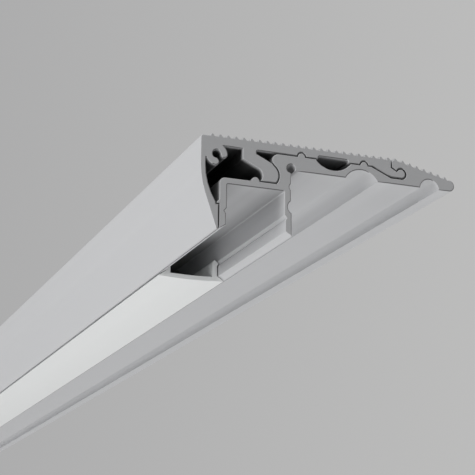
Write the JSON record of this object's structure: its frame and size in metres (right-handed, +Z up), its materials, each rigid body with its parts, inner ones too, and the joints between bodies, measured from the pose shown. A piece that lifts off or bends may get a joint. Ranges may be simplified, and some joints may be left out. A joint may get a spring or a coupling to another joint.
{
  "type": "led strip aluminium profile",
  "caption": "Interlocking aluminium extrusions for a stair edge: ribbed tread plate, curved nose, sloped rear ramp and a downward LED strip channel closed by a clip-in opal diffuser.",
  "frame": {"origin": "the corner of the step, where the plane of its riser meets the plane of its top, at mid-length", "axes": "+X from the riser face towards the back of the tread, +Y along the profile, away from the pictured end, +Z up"},
  "size_m": [0.0671, 0.6, 0.0237],
  "materials": {
    "aluminium": "matt silver anodised extrusion, sawn square at its ends",
    "opal_plastic": "opal white, satin"
  },
  "bodies": {
    "base": {"base_profile": "aluminium"},
    "tread": {"tread_profile": "aluminium"},
    "diffuser": {"diffuser": "opal_plastic"}
  },
  "joints": [
    {"name": "tread_slide", "type": "slide", "parent": "base", "child": "tread", "axis": [0, 1, 0], "range_m": [-0.55, 0.55]},
    {"name": "diffuser_slide", "type": "slide", "parent": "base", "child": "diffuser", "axis": [0, 1, 0], "range_m": [-0.5, 0.5]}
  ]
}
